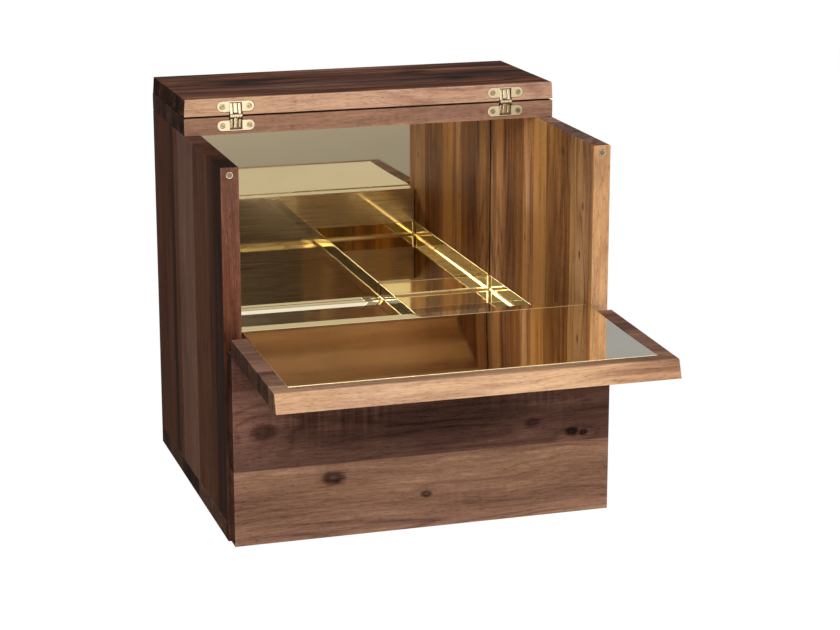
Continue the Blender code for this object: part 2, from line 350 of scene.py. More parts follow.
@dataclass(frozen=True)
class WalnutGrain:
    """Solid walnut, patterned along, across and into the grain.

    A depth says how far its pattern moves the tone, and a rough or height value the roughness or the height.
    """

    seed_steps: Triple = (7.3, 3.2, 5.5)
    wave: Noise = Noise((5.0, 11.0, 11.0), 2.0)
    wave_bend: float = 0.020
    rings: Noise = Noise((1.6, 17.0, 17.0), 1.5, 0.4)
    ring_count: float = 13.0
    late_power: float = 4.0
    late_depth: float = -0.15
    late_height: float = -0.15
    clear: Noise = Noise((4.0, 15.0, 15.0))
    clear_late: Band = Band(0.40, 0.62, 0.25, 1.0)
    clear_hue: float = 0.5
    cloud: Noise = Noise((3.2, 19.0, 19.0), 2.0)
    cloud_depth: float = 0.46
    streak: Noise = Noise((3.5, 95.0, 95.0), 4.0, 0.6)
    streak_depth: float = 0.46
    thread: Noise = Noise((9.0, 330.0, 330.0), 2.0, 0.6)
    thread_depth: float = 0.26
    fibre: Noise = Noise((44.0, 640.0, 640.0), 3.0, 0.65)
    fibre_depth: float = 0.36
    fibre_rough: float = 0.16
    fibre_height: float = 0.5
    pore: Noise = Noise((140.0, 1050.0, 1050.0))
    pore_cut: Band = Band(0.58, 0.70)
    pore_depth: float = -0.13
    pore_height: float = -0.7
    ripple: Noise = Noise((215.0, 14.0, 14.0))
    curl: Noise = Noise((9.0, 24.0, 24.0))
    curl_cut: Band = Band(0.50, 0.68, 0.0, 0.12)
    curl_depth: float = 0.30
    knot_depth: float = -0.50
    wear_depth: float = 0.07
    oiled_rough: float = 0.46
    end_rough: float = 0.5
    browns: Stops = (
        (0.00, rgb(0.010, 0.006, 0.005)),
        (0.20, rgb(0.042, 0.019, 0.012)),
        (0.45, rgb(0.118, 0.057, 0.035)),
        (0.70, rgb(0.260, 0.138, 0.084)),
        (1.00, rgb(0.560, 0.350, 0.205)),
    )
    tints: Stops = (
        (0.0, rgb(1.0, 0.78, 0.38)),
        (0.4, rgb(1.0, 1.0, 1.0)),
        (0.7, rgb(1.0, 0.97, 1.15)),
        (1.0, rgb(1.0, 0.66, 0.45)),
    )

    def group(self) -> bpy.types.NodeTree:
        """Build the grain.

        Returns:
            Group that reads coordinates along, across and into the grain.
        """
        values = "Tone Seed Hue Swell Knot End Wear Figure Curl"
        effect = EffectGroup("walnut_grain", {Socket.VECTOR: "Vector", Socket.VALUE: values}, SURFACE)
        g, given = effect.graph, effect.inputs
        figure = given["Figure"]
        shift = g.joined(*(g.math("MULTIPLY", given["Seed"], step) for step in self.seed_steps))
        moved = g.vector("ADD", given["Vector"], shift)
        bend = g.sway(0.0, g.noise(moved, self.wave), self.wave_bend)
        bent = g.vector("ADD", moved, g.joined(0.0, bend, bend))

        phase = g.plus(given["Swell"], g.noise(bent, self.rings), self.ring_count)
        swing = g.math("SINE", g.math("MULTIPLY", phase, math.tau))
        late = g.math("POWER", g.spread(swing, Band(-1.0, 1.0)), self.late_power)
        clear = g.noise(moved, self.clear)
        late = g.math("MULTIPLY", late, g.spread(clear, self.clear_late))
        fibre = g.noise(bent, self.fibre)
        pore = g.spread(g.noise(bent, self.pore), self.pore_cut)
        curl = g.spread(g.noise(moved, self.curl), self.curl_cut)
        curl = g.plus(curl, given["Curl"], self.curl_depth)

        tone = given["Tone"]
        for pattern, depth in (
            (self.cloud, self.cloud_depth),
            (self.streak, self.streak_depth),
            (self.thread, self.thread_depth),
        ):
            tone = g.plus(tone, g.sway(0.0, g.noise(bent, pattern), depth), figure)
        tone = g.sway(tone, g.noise(moved, self.ripple), curl)
        tone = g.plus(tone, g.math("MULTIPLY", late, figure), self.late_depth)
        tone = g.sway(tone, fibre, self.fibre_depth)
        tone = g.plus(tone, pore, self.pore_depth)
        tone = g.plus(tone, given["Knot"], self.knot_depth)
        tone = g.math("SUBTRACT", tone, given["End"])
        tone = g.plus(tone, given["Wear"], self.wear_depth)
        hue = g.sway(given["Hue"], clear, self.clear_hue)
        colour = g.blend(1.0, g.ramp(tone, self.browns), g.ramp(hue, self.tints), "MULTIPLY")
        rough = g.plus(g.plus(self.oiled_rough, fibre, self.fibre_rough), given["End"], self.end_rough)
        height = g.plus(g.math("MULTIPLY", fibre, self.fibre_height), pore, self.pore_height)
        height = g.plus(height, late, self.late_height)
        return effect.put_out(color=colour, roughness=rough, height=height)


@dataclass(frozen=True)
class KnotMark:
    """One knot: a dark heart and the swell that bends the rings around it."""

    stretch: Triple = (0.62, 1.0, 0.3)
    ragged: Noise = Noise((190.0, 260.0, 260.0), 2.0, 0.6)
    ragged_depth: float = 0.55
    strength: Band = Band(2.0 * MM, 8.0 * MM, 0.1, 1.6)
    swell: Band = Band(0.0, 5.2, 1.0, 0.0, True)
    heart: Band = Band(0.0, 0.7, 0.60, 1.0)
    fade: Band = Band(0.5, 1.7, 1.0, 0.0, True)

    def group(self) -> bpy.types.NodeTree:
        """Build the knot.

        Returns:
            Group with the running swell and darkness passed through it.
        """
        takes = {Socket.VECTOR: "Vector Centre", Socket.VALUE: "Reach Dark Swell Knot"}
        effect = EffectGroup("walnut_knot", takes, {Socket.VALUE: "Swell Knot"})
        g, given = effect.graph, effect.inputs
        off = g.vector("MULTIPLY", g.vector("SUBTRACT", given["Vector"], given["Centre"]), self.stretch)
        away = g.math("DIVIDE", g.length(off), given["Reach"])
        away = g.sway(away, g.noise(given["Vector"], self.ragged), self.ragged_depth)
        swell = g.plus(given["Swell"], g.spread(away, self.swell), g.spread(given["Reach"], self.strength))
        ring = g.math("MINIMUM", g.spread(away, self.heart), g.spread(away, self.fade))
        dark = g.math("MULTIPLY", ring, given["Dark"])
        return effect.put_out(swell=swell, knot=g.math("MAXIMUM", given["Knot"], dark))


@dataclass(frozen=True)
class CloudMark:
    """One soft cloud of darker, lighter or curly wood."""

    ragged: Noise = Noise((14.0, 60.0, 60.0), 3.0, 0.6)
    ragged_depth: float = 1.1
    fade: Band = Band(0.45, 1.15, 1.0, 0.0, True)

    def group(self) -> bpy.types.NodeTree:
        """Build the cloud.

        Returns:
            Group that passes the running tone through and shifts it inside the cloud.
        """
        takes = {Socket.VECTOR: "Vector Centre Size", Socket.VALUE: "Shift Tone"}
        effect = EffectGroup("walnut_patch", takes, {Socket.VALUE: "Tone"})
        g, given = effect.graph, effect.inputs
        off = g.vector("DIVIDE", g.vector("SUBTRACT", given["Vector"], given["Centre"]), given["Size"])
        away = g.sway(g.length(off), g.noise(given["Vector"], self.ragged), self.ragged_depth)
        return effect.put_out(tone=g.plus(given["Tone"], g.spread(away, self.fade), given["Shift"]))


@dataclass(frozen=True)
class WornEdge:
    """Wear along the edges of a box-shaped board."""

    fade: Band = Band(0.0, 1.0, 1.0, 0.0, True)
    patchy: Noise = Noise((60.0, 60.0, 60.0), 3.0, 0.6)
    patchy_share: Band = Band(0.35, 0.65, 0.2, 1.0)

    def group(self) -> bpy.types.NodeTree:
        """Build the wear.

        Returns:
            Group that gives a mask near the board's edges.
        """
        takes = {Socket.VECTOR: "Vector Low High", Socket.VALUE: "Reach"}
        effect = EffectGroup("worn_edge", takes, {Socket.VALUE: "Wear"})
        g, given = effect.graph, effect.inputs
        above = g.vector("SUBTRACT", given["Vector"], given["Low"])
        below = g.vector("SUBTRACT", given["High"], given["Vector"])
        x, y, z = g.parts(g.vector("MINIMUM", above, below))
        second = g.math("MAXIMUM", g.math("MINIMUM", x, y), g.math("MINIMUM", g.math("MAXIMUM", x, y), z))
        share = g.spread(g.math("DIVIDE", second, given["Reach"]), self.fade)
        patchy = g.spread(g.noise(given["Vector"], self.patchy), self.patchy_share)
        return effect.put_out(wear=g.math("MULTIPLY", share, patchy))


@dataclass(frozen=True)
class HandledMetal:
    """Surface of handled sheet metal: slow waves, brushing, smudges and spots."""

    cloud: Noise = Noise((14.0, 14.0, 14.0), 4.0, 0.6)
    cloud_dull: Band = Band(0.40, 0.75, 0.0, 0.6)
    cloud_height: float = 0.7
    smear: Noise = Noise((35.0, 90.0, 35.0), 3.0, 0.65)
    smear_cut: Band = Band(0.42, 0.75)
    brush: Noise = Noise((9.0, 11000.0, 11000.0), 2.0)
    brush_cut: Band = Band(0.46, 0.58)
    brush_height: float = 0.5
    spot: Noise = Noise((230.0, 230.0, 230.0), 2.0)
    spot_cut: Band = Band(0.70, 0.80)
    spot_dull: float = 0.5
    least_rough: float = 0.015

    def group(self) -> bpy.types.NodeTree:
        """Build the surface.

        Returns:
            Group that gives a colour, a roughness and a height.
        """
        takes = {Socket.VECTOR: "Vector", Socket.COLOUR: "Bright Dull", Socket.VALUE: "Polish Smudge Brush"}
        effect = EffectGroup("handled_metal", takes, SURFACE)
        g, given = effect.graph, effect.inputs
        place = given["Vector"]
        cloud = g.noise(place, self.cloud)
        brush = g.noise(place, self.brush)
        spot = g.spread(g.noise(place, self.spot), self.spot_cut)
        dull = g.plus(g.spread(cloud, self.cloud_dull), spot, self.spot_dull)
        colour = g.blend(dull, given["Bright"], given["Dull"])
        smear = g.spread(g.noise(place, self.smear), self.smear_cut)
        rough = g.plus(given["Polish"], smear, given["Smudge"])
        rough = g.plus(rough, g.spread(brush, self.brush_cut), given["Brush"])
        rough = g.math("MAXIMUM", rough, self.least_rough)
        lines = g.math("MULTIPLY", brush, given["Brush"])
        height = g.plus(g.math("MULTIPLY", cloud, self.cloud_height), lines, self.brush_height)
        return effect.put_out(color=colour, roughness=rough, height=height)


class Effects:
    """The shared node groups, each built once."""

    def __init__(self) -> None:
        """Build every group."""
        self.grain = WalnutGrain().group()
        self.knot = KnotMark().group()
        self.patch = CloudMark().group()
        self.worn_edge = WornEdge().group()
        self.metal = HandledMetal().group()


class GrainRun(Enum):
    """How a board's grain lies: the axes along, across and into it."""

    ACROSS_DEPTH = (0, 1, 2)
    ACROSS_HEIGHT = (0, 2, 1)
    UPRIGHT = (2, 1, 0)

    def spot(self, x: float, y: float, z: float) -> Triple:
        """Return a point of the cabinet along, across and into the grain."""
        return tuple(at(x, y, z)[axis] for axis in self.value)


@dataclass(frozen=True)
class Stave:
    """One glued stave of a board.

    Attributes:
        start: Where it starts across the board, in cabinet millimetres.
        tone: 0 near black to 1 sapwood.
        hue: 0 golden, 0.4 plain, 0.7 plum and 1 red brown.
        figure: Share of the board's figure that it shows.
    """

    start: float
    tone: float
    hue: float
    figure: float = 1.0


def glued(*rows: tuple[float, ...]) -> tuple[Stave, ...]:
    """Return staves from rows of start, tone, hue and perhaps figure."""
    return tuple(Stave(*row) for row in rows)


@dataclass(frozen=True)
class Knot:
    """A knot in a board.

    Attributes:
        place: Its middle, in cabinet millimetres.
        reach: Its radius in millimetres.
        dark: How dark its heart is.
    """

    place: Triple
    reach: float
    dark: float


@dataclass(frozen=True)
class Patch:
    """A soft cloud in a board.

    Attributes:
        place: Its middle, in cabinet millimetres.
        half: Its half sizes along, across and into the grain, in millimetres.
        shift: Change of tone, or strength of curly grain, in it.
    """

    place: Triple
    half: Triple
    shift: float


@dataclass(frozen=True)
class WalnutFinish:
    """Oiled walnut glued from staves.

    Attributes:
        run: How the grain lies.
        staves: The staves in order.
        knots: Knots in the board.
        patches: Darker and lighter clouds in the board.
        ripples: Clouds of curly grain.
        figure: Strength of clouds, streaks and rings.
        end_dark: Tone that the end grain loses.
        end_face: Where the end grain starts and is full, by how far a face looks along the grain.
        painted_light_axis: Axis whose low face is made lighter and more golden, if any: painted light on that
            face.
        painted_light_face: Share of the painted light, by how far a face looks along that axis.
        painted_light_tone: Tone that the face gains from the painted light.
        painted_light_hue: Hue that it gains.
        seed: Picks the piece of the solid grain that the first stave is cut from.
        seed_step: Change of the seed from stave to stave.
        wear_reach: Width of the worn edges.
        bump: Strength of the open grain.
        bump_deep: Its depth.
        sheen: Strength of the oil's gloss.
    """

    run: GrainRun
    staves: tuple[Stave, ...]
    knots: tuple[Knot, ...] = ()
    patches: tuple[Patch, ...] = ()
    ripples: tuple[Patch, ...] = ()
    figure: float = 1.0
    end_dark: float = 0.20
    end_face: Span = (0.6, 0.9)
    # Painted light on the low face of one axis, lighter and more golden than the staves
    painted_light_axis: int | None = None
    painted_light_face: Band = Band(-0.9, -0.6, 1.0, 0.0)
    painted_light_tone: float = 0.0
    painted_light_hue: float = 0.0
    seed: float = 0.0
    seed_step: float = 0.377
    wear_reach: float = 2.2 * MM
    bump: float = 0.10
    bump_deep: float = 0.4 * MM
    sheen: float = 0.03

    def material(self, node: str, effects: Effects) -> Finish:
        """Make the finish for one board.

        Args:
            node: CAD node of the board.
            effects: Shared node groups.

        Returns:
            The material.
        """
        made, g, shader = new_material("walnut_" + node)
        place = g.node("ShaderNodeTexCoord").outputs
        axes = g.parts(place["Object"])
        normal = g.parts(place["Normal"])
        along, across, into = self.run.value
        vector = g.joined(axes[along], axes[across], axes[into])
        low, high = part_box(node)

        tone, seed, hue, figure = self._stave_values(g, axes[across], (low[across], high[across]))
        tone = self._clouded(g, effects, vector, self.patches, tone)
        curl = self._clouded(g, effects, vector, self.ripples, 0.0)
        # Painted light: the low face of the chosen axis is made lighter and more golden
        if self.painted_light_axis is not None:
            painted_light = g.spread(normal[self.painted_light_axis], self.painted_light_face)
            tone = g.plus(tone, painted_light, self.painted_light_tone)
            hue = g.plus(hue, painted_light, self.painted_light_hue)
        swell, knot = 0.0, 0.0
        for each in self.knots:
            out = g.group(effects.knot, vector=vector, centre=self.run.spot(*each.place),
                          reach=each.reach * MM, dark=each.dark, swell=swell, knot=knot)
            swell, knot = out["Swell"], out["Knot"]
        end = g.spread(g.math("ABSOLUTE", normal[along]), Band(*self.end_face, 0.0, self.end_dark))
        wear = g.group(effects.worn_edge, vector=place["Object"], low=low, high=high, reach=self.wear_reach)
        grain = g.group(effects.grain, vector=vector, tone=tone, seed=seed, hue=hue, swell=swell, knot=knot,
                        end=end, wear=wear["Wear"], figure=figure, curl=curl)
        g.surface(shader, grain, self.bump, self.bump_deep)
        g.feed(shader.inputs["Specular IOR Level"], self.sheen)
        return made

    def _clouded(self, g: Graph, effects: Effects, vector: Wire, clouds: Sequence[Patch],
                 value: object) -> object:
        """Shift a value inside clouds.

        Args:
            g: Graph of the material.
            effects: Shared node groups.
            vector: Coordinates along, across and into the grain.
            clouds: The clouds.
            value: Value outside them.

        Returns:
            The shifted value.
        """
        for cloud in clouds:
            half = tuple(part * MM for part in cloud.half)
            value = g.group(effects.patch, vector=vector, centre=self.run.spot(*cloud.place), size=half,
                            shift=cloud.shift, tone=value)["Tone"]
        return value

    def _stave_values(self, g: Graph, across: Wire, edges: Span) -> tuple[Wire, ...]:
        """Read tone, seed, hue and figure of the stave at a place.

        Args:
            g: Graph of the material.
            across: Coordinate across the staves.
            edges: Lowest and highest coordinate of the board there.

        Returns:
            Sockets for tone, seed, hue and figure.
        """
        low, high = edges
        stops = []
        for number, stave in enumerate(self.staves):
            start = self.run.spot(0.0, stave.start, stave.start)[1]
            position = min(max((start - low) / (high - low), 0.0), 1.0)
            mark = math.modf(self.seed + self.seed_step * number)[0]
            stops.append((position, (stave.tone, mark, stave.hue, stave.figure)))
        values = g.ramp(g.spread(across, Band(low, high)), stops, steps=True)
        tone, seed, hue = g.node("ShaderNodeSeparateColor", values).outputs
        return tone, seed, hue, g.math("MULTIPLY", values.node.outputs["Alpha"], self.figure)


@dataclass(frozen=True)
class MetalFinish:
    """Bare metal, or wax shaded like it, with the marks of handling.

    Attributes:
        name: Name of the material.
        bright: Colour of the clean metal.
        dull: Colour where it is clouded.
        polish: Roughness of the clean metal.
        smudge: Roughness that handling adds.
        bump: Strength of the uneven surface.
        brush: Roughness of the brushed streaks.
        bump_deep: Depth of the uneven surface.
    """

    name: str
    bright: Colour
    dull: Colour
    polish: float
    smudge: float
    bump: float
    brush: float = 0.0
    bump_deep: float = 0.15 * MM

    def material(self, effects: Effects) -> Finish:
        """Make the finish.

        Args:
            effects: Shared node groups.

        Returns:
            The material.
        """
        made, g, shader = new_material(self.name)
        place = g.node("ShaderNodeTexCoord").outputs["Object"]
        marks = g.group(effects.metal, vector=place, bright=self.bright, dull=self.dull, polish=self.polish,
                        smudge=self.smudge, brush=self.brush)
        g.surface(shader, marks, self.bump, self.bump_deep)
        g.feed(shader.inputs["Metallic"], 1.0)
        return made


class Metals:
    """The finishes of the cabinet's metal, mirror and wax, each made once."""

    def __init__(self, effects: Effects) -> None:
        """Make every finish.

        Args:
            effects: Shared node groups.
        """

        def make(*look: object) -> Finish:
            """Make one finish from its name, two colours and values."""
            return MetalFinish(*look).material(effects)

        self.polished = make(
            "brass_polished", rgb(0.97, 0.92, 0.79), rgb(0.90, 0.83, 0.68), 0.03, 0.03, 0.03)
        self.golden = make(
            "brass_golden", rgb(0.89, 0.75, 0.47), rgb(0.81, 0.67, 0.40), 0.03, 0.03, 0.03)
        self.lining = make(
            "brass_lining", rgb(0.86, 0.81, 0.70), rgb(0.80, 0.75, 0.63), 0.015, 0.02, 0.02)
        self.brushed = make(
            "brass_brushed", rgb(0.97, 0.94, 0.88), rgb(0.91, 0.87, 0.80), 0.03, 0.04, 0.01, 0.60)
        # Brighter, rougher brass on rims, folds and eased edges: painted highlight lines where they catch the
        # lamps
        self.edge = make(
            "brass_edge_highlight", rgb(1.0, 0.86, 0.50), rgb(0.95, 0.79, 0.42), 0.27, 0.05, 0.03)
        self.satin = make(
            "brass_satin", rgb(0.57, 0.46, 0.31), rgb(0.49, 0.39, 0.25), 0.42, 0.08, 0.06)
        self.screw = make(
            "brass_screw", rgb(0.29, 0.25, 0.14), rgb(0.22, 0.18, 0.09), 0.34, 0.10, 0.06)
        # Dark brass: painted shade on the faces deep in the hinge windows and on the screw slots' floors; the
        # catches' faces are dark brass too
        self.dark_brass_and_shade = make(
            "brass_dark_and_shade", rgb(0.20, 0.15, 0.09), rgb(0.14, 0.10, 0.06), 0.50, 0.10, 0.10)
        self.mirror = make(
            "mirror_warm", rgb(0.63, 0.55, 0.40), rgb(0.60, 0.52, 0.37), 0.015, 0.02, 0.0)
        self.seal = make(
            "wax_seal", rgb(0.040, 0.024, 0.014), rgb(0.025, 0.015, 0.010), 0.45, 0.20, 0.10)
        self.steel = make(
            "steel_turned", rgb(0.62, 0.61, 0.59), rgb(0.45, 0.44, 0.42), 0.28, 0.12, 0.08)


def every(face: bpy.types.MeshPolygon) -> bool:
    """Pick any face."""
    return True


def flat(face: bpy.types.MeshPolygon) -> bool:
    """Say whether a face looks along one axis."""
    return max(abs(part) for part in face.normal) > FLAT


def frontward(face: bpy.types.MeshPolygon) -> bool:
    """Say whether a face looks to the front."""
    return face.normal.y < -FACING


@dataclass
class Handwork:
    """Modelling by hand: one piece at a time, at its size and place."""

    metals: Metals

    def hold(self, *pieces: Piece) -> None:
        """Select some pieces and nothing else, the first one active.

        Args:
            *pieces: The pieces, if any.
        """
        bpy.ops.object.select_all(action="DESELECT")
        for piece in pieces:
            piece.select_set(True)
        if pieces:
            bpy.context.view_layer.objects.active = pieces[0]

    def settle(self, name: str) -> Piece:
        """Name the active object and put its place into its mesh.

        Args:
            name: Piece name.

        Returns:
            The object.
        """
        piece = bpy.context.object
        piece.name = name
        piece.data.name = name
        bpy.ops.object.transform_apply(location=True, rotation=True, scale=True)
        return piece

    def block(self, name: str, low: Vector, high: Vector) -> Piece:
        """Add a block.

        Args:
            name: Piece name.
            low: Lowest corner.
            high: Highest corner.

        Returns:
            The new object.
        """
        self.hold()
        bpy.ops.mesh.primitive_cube_add(size=1.0, location=(low + high) / 2, scale=high - low)
        return self.settle(name)

    def open_box(self, name: str, low: Vector, high: Vector) -> Piece:
        """Add a box of sheet with no lid.

        Args:
            name: Piece name.
            low: Lowest corner.
            high: Highest corner.

        Returns:
            The new object.
        """
        piece = self.block(name, low, high)
        self.on_faces(piece, lambda face: face.normal.z > FACING, bpy.ops.mesh.delete, type="FACE")
        return piece

    def turned(self, name: str, centre: Vector, radii: Span, long: float, turn: Triple, sides: int) -> Piece:
        """Add a cylinder or a cone.

        Args:
            name: Piece name.
            centre: Its middle.
            radii: Radius at its two ends.
            long: Its length.
            turn: Rotation from upright.
            sides: Faces round it.

        Returns:
            The new object.
        """
        self.hold()
        bpy.ops.mesh.primitive_cone_add(vertices=sides, radius1=radii[0], radius2=radii[1], depth=long,
                                        location=centre, rotation=turn)
        return self.settle(name)

    def copy(self, piece: Piece, name: str, move: Vector) -> Piece:
        """Copy a piece with its own mesh.

        Args:
            piece: Piece to copy.
            name: Name of the copy.
            move: How far the copy stands from it.

        Returns:
            The copy.
        """
        self.hold(piece)
        bpy.ops.object.duplicate(linked=False)
        bpy.context.object.location = move
        return self.settle(name)

    def on_faces(self, piece: Piece, wanted: FaceTest, operator: Operator, **settings: object) -> None:
        """Edit chosen faces.

        Args:
            piece: Piece to edit.
            wanted: Says whether a face is chosen, by its place or normal.
            operator: Edit mode operator, or a function that runs several.
            **settings: What it is given.
        """
        self._unpick(piece, "FACE")
        for face in piece.data.polygons:
            face.select = wanted(face)
        self._edit(operator, settings)

    def on_edges(self, piece: Piece, wanted: EdgeTest, operator: Operator, **settings: object) -> None:
        """Edit chosen edges.

        Args:
            piece: Piece to edit.
            wanted: Says whether the edge between two points is chosen.
            operator: Edit mode operator.
            **settings: What it is given.
        """
        self._unpick(piece, "EDGE")
        points = piece.data.vertices
        for edge in piece.data.edges:
            edge.select = wanted(*(points[number].co for number in edge.vertices))
        self._edit(operator, settings)

    def _unpick(self, piece: Piece, mode: str) -> None:
        """Take up a piece with nothing picked in it.

        Args:
            piece: Piece to edit.
            mode: What is picked next.
        """
        self.hold(piece)
        bpy.ops.object.mode_set(mode="EDIT")
        bpy.ops.mesh.select_mode(type=mode)
        bpy.ops.mesh.select_all(action="DESELECT")
        bpy.ops.object.mode_set(mode="OBJECT")

    def _edit(self, operator: Operator, settings: dict[str, object]) -> None:
        """Run an operator in edit mode.

        Args:
            operator: The operator.
            settings: What it is given.
        """
        bpy.ops.object.mode_set(mode="EDIT")
        operator(**settings)
        bpy.ops.object.mode_set(mode="OBJECT")

    def move(self, piece: Piece, wanted: EdgeTest, by: Triple) -> None:
        """Move chosen edges of a piece."""
        self.on_edges(piece, wanted, bpy.ops.transform.translate, value=by)

    def bevel(self, piece: Piece, wanted: EdgeTest, width: float, segments: int) -> None:
        """Bevel chosen edges of a piece."""
        self.on_edges(piece, wanted, bpy.ops.mesh.bevel, offset=width, offset_type="OFFSET",
                      segments=segments, profile=ROUND_PROFILE, affect="EDGES")

    def turn(self, piece: Piece, angle: float, axis: str, centre: Vector) -> None:
        """Turn a whole piece about an axis through a point."""
        self.on_faces(piece, every, bpy.ops.transform.rotate, value=angle, orient_axis=axis,
                      center_override=centre)

    def bisect(self, piece: Piece, place: Vector, normal: Vector) -> None:
        """Add edges where a plane crosses a piece."""
        self.on_faces(piece, every, bpy.ops.mesh.bisect, plane_co=place, plane_no=normal)

    def apply(self, piece: Piece, kind: str, **settings: object) -> None:
        """Add a modifier to a piece and apply it.

        Args:
            piece: Piece to modify.
            kind: Modifier type.
            **settings: Properties of the modifier.
        """
        self.hold(piece)
        made = piece.modifiers.new(kind.lower(), kind)
        for name, value in settings.items():
            setattr(made, name, value)
        bpy.ops.object.modifier_apply(modifier=made.name)

    def thicken(self, piece: Piece, wall: float) -> None:
        """Give a folded sheet its thickness, inwards."""
        self.apply(piece, "SOLIDIFY", thickness=wall, offset=-1.0, use_even_offset=True)

    def cut(self, piece: Piece, cutter: Piece) -> None:
        """Cut a piece with another one and throw the cutter away."""
        self.apply(piece, "BOOLEAN", object=cutter, operation="DIFFERENCE", solver="EXACT")
        bpy.data.objects.remove(cutter)

    def join(self, piece: Piece, *others: Piece) -> None:
        """Join other pieces into one that keeps its name."""
        self.hold(piece, *others)
        bpy.ops.object.join()

    def coat(self, piece: Piece, first: Finish, second: Finish | None = None,
             rubbed: FaceTest = every) -> None:
        """Give a piece its finish, and perhaps some of its faces a second one.

        Args:
            piece: Piece to coat.
            first: Its finish.
            second: Finish of the chosen faces, if any.
            rubbed: Says whether a face is chosen.
        """
        piece.data.materials.append(first)
        if second is not None:
            piece.data.materials.append(second)
            piece.active_material_index = 1
            self.on_faces(piece, rubbed, bpy.ops.object.material_slot_assign)

    def hand_in(self, piece: Piece, body: str, node: str = "", degrees: float = SMOOTH_DEGREES) -> None:
        """Shade a finished piece and fix it to its body.

        Args:
            piece: The piece.
            body: Body that it rides on.
            node: CAD node that it stands for, if any.
            degrees: Angle up to which it is shaded smooth; large faces stay flat.
        """
        self.hold(piece)
        bpy.ops.object.shade_smooth_by_angle(angle=math.radians(degrees))
        self.apply(piece, "WEIGHTED_NORMAL", weight=100, keep_sharp=True)
        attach(piece, body)
        if node:
            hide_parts(node)
        LOG.info("made %s on %s", piece.name, body)


def dress(node: str, material: Finish) -> None:
    """Give a CAD node its finish.

    Args:
        node: CAD node.
        material: Finish for all its slots.
    """
    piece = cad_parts[node]
    if not piece.material_slots:
        piece.data.materials.append(material)
    for slot in piece.material_slots:
        slot.material = material
    LOG.info("dressed %s with %s", node, material.name)


